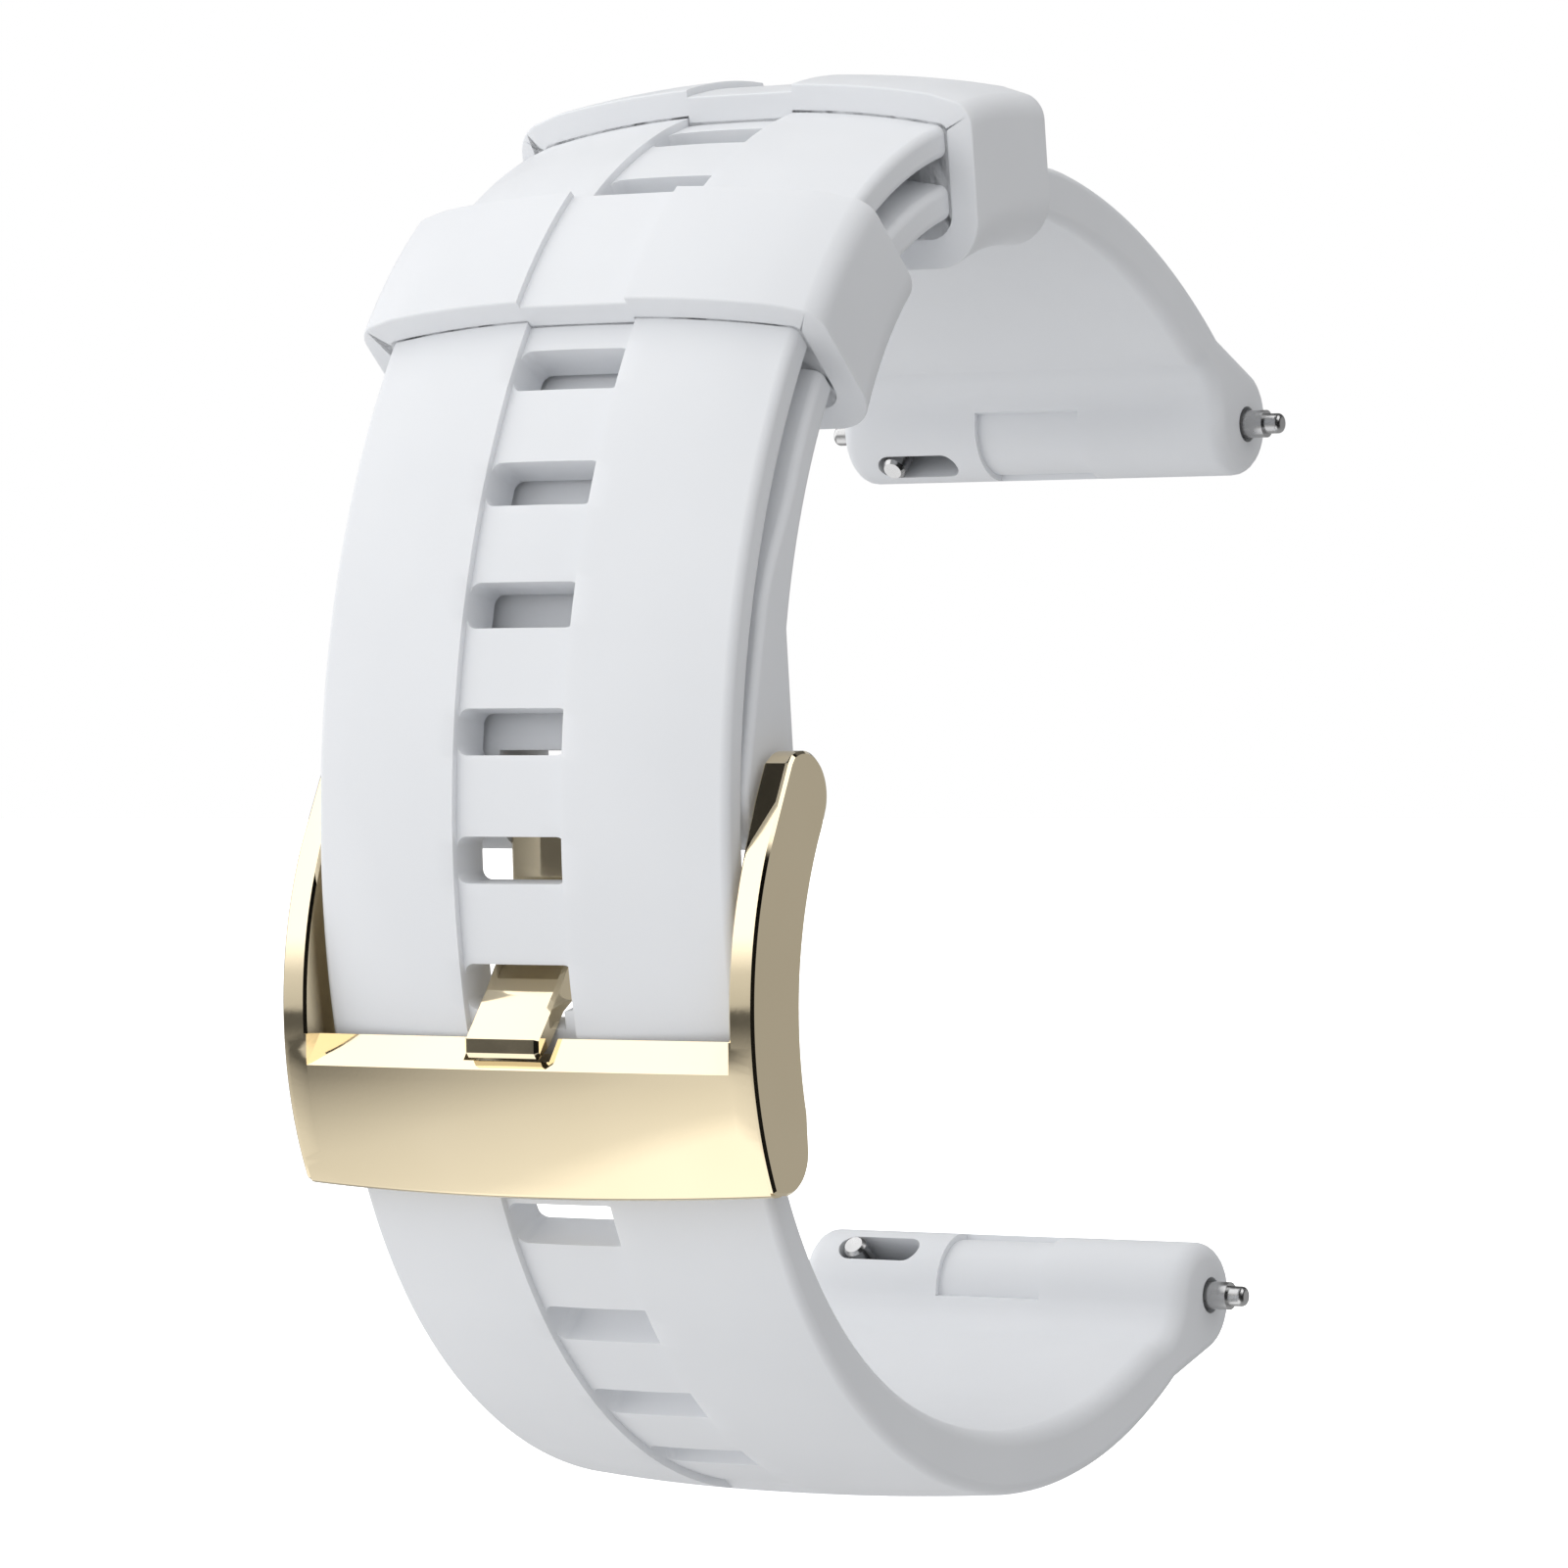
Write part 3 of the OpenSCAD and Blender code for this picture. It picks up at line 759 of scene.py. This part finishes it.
FLAT_LOW, FLAT_BEND, FLAT_HIGH = -2.9, -0.7, 0.9
FLAT_WIDTH, FLAT_LEAN = 0.94, 0.22


def flat_width(y, z):
    """Width of the flat on the front of an arm, from its inner side; it widens towards the pivot."""
    if y > -20.7 or not FLAT_LOW < z < FLAT_HIGH:
        return 0.0
    return FLAT_WIDTH * min(1.0, (z - FLAT_LOW) / (FLAT_BEND - FLAT_LOW))


def arm(name, side):
    """An arm of the buckle, with chamfered rims and the flat below its pivot."""
    rim = inset(arm_outline, ARM_EDGE)
    stations = []
    for (y, z), (rim_y, rim_z) in zip(arm_outline, rim):
        width = flat_width(y, z)
        proud = FLAT_LEAN * width
        edge_x = max(ARM_IN + width, ARM_IN + ARM_EDGE + 0.02)
        stations.append((
            (ARM_IN, rim_y - proud, rim_z),
            (ARM_IN + ARM_EDGE, y - proud, z),
            (edge_x, y, z),
            (ARM_OUT - ARM_EDGE, y, z),
            (ARM_OUT, rim_y, rim_z),
        ))
    bm = bmesh.new()
    rows = zip(*stations)
    loops = [[bm.verts.new((side * x * MM, y * MM, z * MM)) for x, y, z in row] for row in rows]
    tube(bm, loops)
    return new_object(name, bm)


buckle = bar_mesh("pin_buckle")
parts = [arm("arm_l", -1), arm("arm_r", 1)]
cut(buckle, *parts, operation="UNION")
NOTCH_HALF = TONGUE_HALF + 0.3
notch_outline = [
    (-22.2, -9.6), (-22.5, -10.4), (-23.0, -11.0), (-23.7, -11.3), (-24.1, -11.35), (-26, -11.38),
    (-26, -9.6),
]
notch = prism("notch", notch_outline, TONGUE_X - NOTCH_HALF, TONGUE_X + NOTCH_HALF)
SOCKET_R = 0.45
sockets = [
    rod("socket_l", PIVOT, SOCKET_R, -11.0, -9.0, 24),
    rod("socket_r", PIVOT, SOCKET_R, 9.0, 11.0, 24),
]
cut(buckle, notch, *sockets)
settle(buckle, parts + sockets + [notch], sharp=25)
flat_box = ((ARM_IN - 0.02, -23.2, FLAT_LOW - 0.1), (ARM_OUT - 0.05, -20.6, FLAT_HIGH + 0.1))
crease(buckle, 7, *flat_box)

TONGUE_EDGE = 0.16
tongue_face = [
    (-20.75, -5.6), (-20.88, -6.3), (-21.12, -6.75), (-21.6, -6.98), (-21.95, -7.16), (-22.18, -7.42),
    (-22.93, -8.52), (-23.05, -8.66), (-24.42, -10.42), (-24.4, -11.0), (-24.22, -11.2),
]
tongue_back = [
    (-24.0, -11.25), (-23.4, -10.85), (-22.25, -9.4), (-21.0, -8.6), (-20.15, -7.7), (-19.9, -6.3),
    (-19.85, -2.2),
]
tongue_outline = arc(PIVOT, 1.4, -60, 205, 30) + tongue_face + tongue_back
tongue_sides = (TONGUE_X - TONGUE_HALF, TONGUE_X + TONGUE_HALF)
tongue = prism("tongue_body", tongue_outline, *tongue_sides, TONGUE_EDGE)
TONGUE_BORE_R = 0.85
tongue_bore = rod("tongue_bore", PIVOT, TONGUE_BORE_R, -3, 3)
cut(tongue, tongue_bore)
settle(tongue, [tongue_bore], sharp=25)


# ---------------------------------------------------------------- materials
def new_material(name):
    m = bpy.data.materials.new(name)
    m.use_nodes = True
    nt = m.node_tree
    return m, nt, nt.nodes["Principled BSDF"]


def noise(nt, scale, detail=3.0, roughness=0.5):
    coords = nt.nodes.new("ShaderNodeTexCoord")
    tex = nt.nodes.new("ShaderNodeTexNoise")
    tex.inputs["Scale"].default_value = scale
    tex.inputs["Detail"].default_value = detail
    tex.inputs["Roughness"].default_value = roughness
    nt.links.new(coords.outputs["Object"], tex.inputs["Vector"])
    return tex


def ramp(nt, source, stops):
    r = nt.nodes.new("ShaderNodeValToRGB")
    els = r.color_ramp.elements
    els[0].position, els[0].color = stops[0][0], (*stops[0][1], 1)
    els[1].position, els[1].color = stops[1][0], (*stops[1][1], 1)
    nt.links.new(source.outputs["Fac"], r.inputs["Fac"])
    return r


def bump(nt, bsdf, source, strength, distance):
    b = nt.nodes.new("ShaderNodeBump")
    b.inputs["Strength"].default_value = strength
    b.inputs["Distance"].default_value = distance
    nt.links.new(source.outputs["Fac"], b.inputs["Height"])
    nt.links.new(b.outputs["Normal"], bsdf.inputs["Normal"])


def silicone_material():
    m, nt, b = new_material("white_silicone")
    cloud = noise(nt, 90.0, 2.0)
    tint = ramp(nt, cloud, ((0.35, (0.775, 0.79, 0.815)), (0.65, (0.80, 0.815, 0.84))))
    nt.links.new(tint.outputs["Color"], b.inputs["Base Color"])
    sheen = noise(nt, 700.0, 3.0)
    rough = ramp(nt, sheen, ((0.3, (0.46, 0.46, 0.46)), (0.7, (0.56, 0.56, 0.56))))
    nt.links.new(rough.outputs["Color"], b.inputs["Roughness"])
    b.inputs["Subsurface Weight"].default_value = 0.2
    b.inputs["Subsurface Radius"].default_value = (1.0, 0.95, 0.9)
    b.inputs["Subsurface Scale"].default_value = 0.0003
    b.inputs["IOR"].default_value = 1.41
    bump(nt, b, noise(nt, 6500.0, 2.0, 0.6), 0.12, 0.00003)
    return m


def metal_material(name, low, high, rough_low, rough_high, grain=0.05):
    m, nt, b = new_material(name)
    tint = ramp(nt, noise(nt, 120.0, 2.0), ((0.3, low), (0.7, high)))
    nt.links.new(tint.outputs["Color"], b.inputs["Base Color"])
    b.inputs["Metallic"].default_value = 1.0
    rough = ramp(nt, noise(nt, 900.0, 4.0), ((0.3, (rough_low,) * 3), (0.7, (rough_high,) * 3)))
    nt.links.new(rough.outputs["Color"], b.inputs["Roughness"])
    bump(nt, b, noise(nt, 5000.0, 3.0), grain, 0.00001)
    return m


silicone = silicone_material()
gold = metal_material("champagne_metal", (0.84, 0.72, 0.50), (0.88, 0.76, 0.54), 0.05, 0.09)
steel = metal_material("satin_steel", (0.50, 0.50, 0.505), (0.58, 0.58, 0.58), 0.22, 0.34, 0.1)
spring_steel = metal_material(
    "spring_wire", (0.30, 0.30, 0.31), (0.38, 0.38, 0.39), 0.3, 0.42, 0.1
)


def dress(obj, material):
    obj.data.materials.clear()
    obj.data.materials.append(material)


PIECES = (
    (strap_hole_side, "strap_hole_side", "strap", silicone, "silicone"),
    (strap_buckle_side, "strap_buckle_side", "strap", silicone, "silicone"),
    (keeper_lower, "keeper_lower", "lower_loop", silicone, "silicone"),
    (keeper_upper, "keeper_upper", "upper_loop", silicone, "silicone"),
    (buckle, "buckle_frame", "buckle", gold, "gold"),
    (tongue, "buckle_tongue", "tongue", gold, "gold"),
)
for piece, node, body, material, slot in PIECES:
    dress(piece, material)
    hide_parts(node)
    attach(piece, body)

# The steel pieces are the CAD nodes themselves
replaced = {p[1] for p in PIECES}
for node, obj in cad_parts.items():
    if node in replaced:
        continue
    material = spring_steel if node.endswith("_spring") else steel
    if not obj.material_slots:
        obj.data.materials.append(material)
    for slot in obj.material_slots:
        slot.material = material
    if not node.endswith("_spring"):
        bevel(obj, 0.05, 2, "ANGLE", 50)

# ---------------------------------------------------------------- floor and light
FLOOR_R_M, FLOOR_GAP_M = 6.0, 0.0002
low = min(cad_box[0][2], cad_box[1][2])
bm = bmesh.new()
bmesh.ops.create_circle(bm, cap_ends=True, radius=FLOOR_R_M, segments=96)
floor = new_object("floor", bm)
floor.location = (0, 0, low - FLOOR_GAP_M)
pale, _, bsdf = new_material("pale_floor")
bsdf.inputs["Base Color"].default_value = (0.9, 0.9, 0.9, 1)
bsdf.inputs["Roughness"].default_value = 0.9
bsdf.inputs["Emission Color"].default_value = (1, 1, 1, 1)
bsdf.inputs["Emission Strength"].default_value = 1.0
dress(floor, pale)
# The floor glows evenly and neither lights the part nor takes its shadow
floor.visible_diffuse = False
floor.visible_glossy = False
floor.visible_shadow = False

bpy.context.scene.view_settings.view_transform = "Standard"
world = bpy.data.worlds.new("studio")
bpy.context.scene.world = world
world.use_nodes = True
nt = world.node_tree
nt.nodes.clear()


def towards(direction):
    """How far a ray points along a direction, from -1 to 1."""
    coords = nt.nodes.new("ShaderNodeTexCoord")
    dot = nt.nodes.new("ShaderNodeVectorMath")
    dot.operation = "DOT_PRODUCT"
    nt.links.new(coords.outputs["Generated"], dot.inputs[0])
    dot.inputs[1].default_value = direction
    return dot.outputs["Value"]


def shade(direction, stops):
    """Brightness from a ramp along a direction; stops are (dot product, brightness)."""
    r = nt.nodes.new("ShaderNodeMapRange")
    r.inputs["From Min"].default_value = -1.0
    nt.links.new(towards(direction), r.inputs["Value"])
    c = nt.nodes.new("ShaderNodeValToRGB")
    els = c.color_ramp.elements
    while len(els) < len(stops):
        els.new(0.5)
    for el, (at, value) in zip(els, stops):
        el.position = (at + 1) / 2
        el.color = (value, value, value, 1)
    nt.links.new(r.outputs["Result"], c.inputs["Fac"])
    return c.outputs["Color"]


def times(a, b):
    n = nt.nodes.new("ShaderNodeVectorMath")
    n.operation = "MULTIPLY"
    nt.links.new(a, n.inputs[0])
    nt.links.new(b, n.inputs[1])
    return n.outputs["Vector"]


def blend(factor, a, b):
    n = nt.nodes.new("ShaderNodeMix")
    n.data_type = "RGBA"
    nt.links.new(factor, n.inputs["Factor"])
    nt.links.new(a, n.inputs["A"])
    nt.links.new(b, n.inputs["B"])
    return n.outputs["Result"]


def background(colour=None, strength=1.0):
    n = nt.nodes.new("ShaderNodeBackground")
    n.inputs["Strength"].default_value = strength
    if colour is not None:
        nt.links.new(colour, n.inputs["Color"])
    return n


def choose(factor, a, b):
    n = nt.nodes.new("ShaderNodeMixShader")
    nt.links.new(factor, n.inputs["Fac"])
    nt.links.new(a.outputs[0], n.inputs[1])
    nt.links.new(b.outputs[0], n.inputs[2])
    return n


# Three surroundings: plain white for the camera, soft light for the rubber, cards for reflections.
# Soft light for the rubber: bright from the front left and from above and below, dim from the right
SOFT_DIRECTION, SOFT_STRENGTH = (-0.74, -0.58, 0.33), 1.72
from_left = shade(SOFT_DIRECTION, ((-1.0, 0.27), (1.0, 1.0)))
up_and_down = shade((0, 0, 1), ((-1.0, 0.84), (-0.2, 0.62), (0.2, 0.66), (1.0, 1.0)))
soft = background(times(from_left, up_and_down), SOFT_STRENGTH)
# Reflections in the metal. In front: a bright card high up, a dark gap under the horizon, and a card
# below that brightens downwards. Behind: dim, and darker higher up. A black card stands at the right,
# with a lamp above it.
CARD_LIGHT = 1.7
front = shade(
    (-0.573, 0, 0.819),
    (
        (-0.26, 0.78), (-0.19, 0.58), (-0.05, 0.48), (0.085, 0.29), (0.215, 0.07),
        (0.26, 0.07), (0.28, 0.38), (0.40, 0.47), (0.52, 1.0),
    ),
)
rear = shade((0, 0, 1), ((-0.5, 0.27), (0.0, 0.255), (0.2, 0.18), (0.45, 0.05), (0.9, 0.09)))
facing = shade((0.515, 0.857, 0.0), ((-0.22, 0.0), (-0.08, 1.0)))
right = shade((0.857, -0.515, 0.5), ((0.27, 1.0), (0.37, 0.02)))
lamp = shade((0.66, 0, 0.75), ((0.88, 0.0), (0.93, 1.0)))
room = blend(facing, front, rear)
cards = background(blend(lamp, times(room, right), lamp), CARD_LIGHT)
rays = nt.nodes.new("ShaderNodeLightPath")
white = background()
white.inputs["Color"].default_value = (1, 1, 1, 1)
lit = choose(rays.outputs["Is Glossy Ray"], soft, cards)
out = nt.nodes.new("ShaderNodeOutputWorld")
nt.links.new(choose(rays.outputs["Is Camera Ray"], lit, white).outputs[0], out.inputs["Surface"])
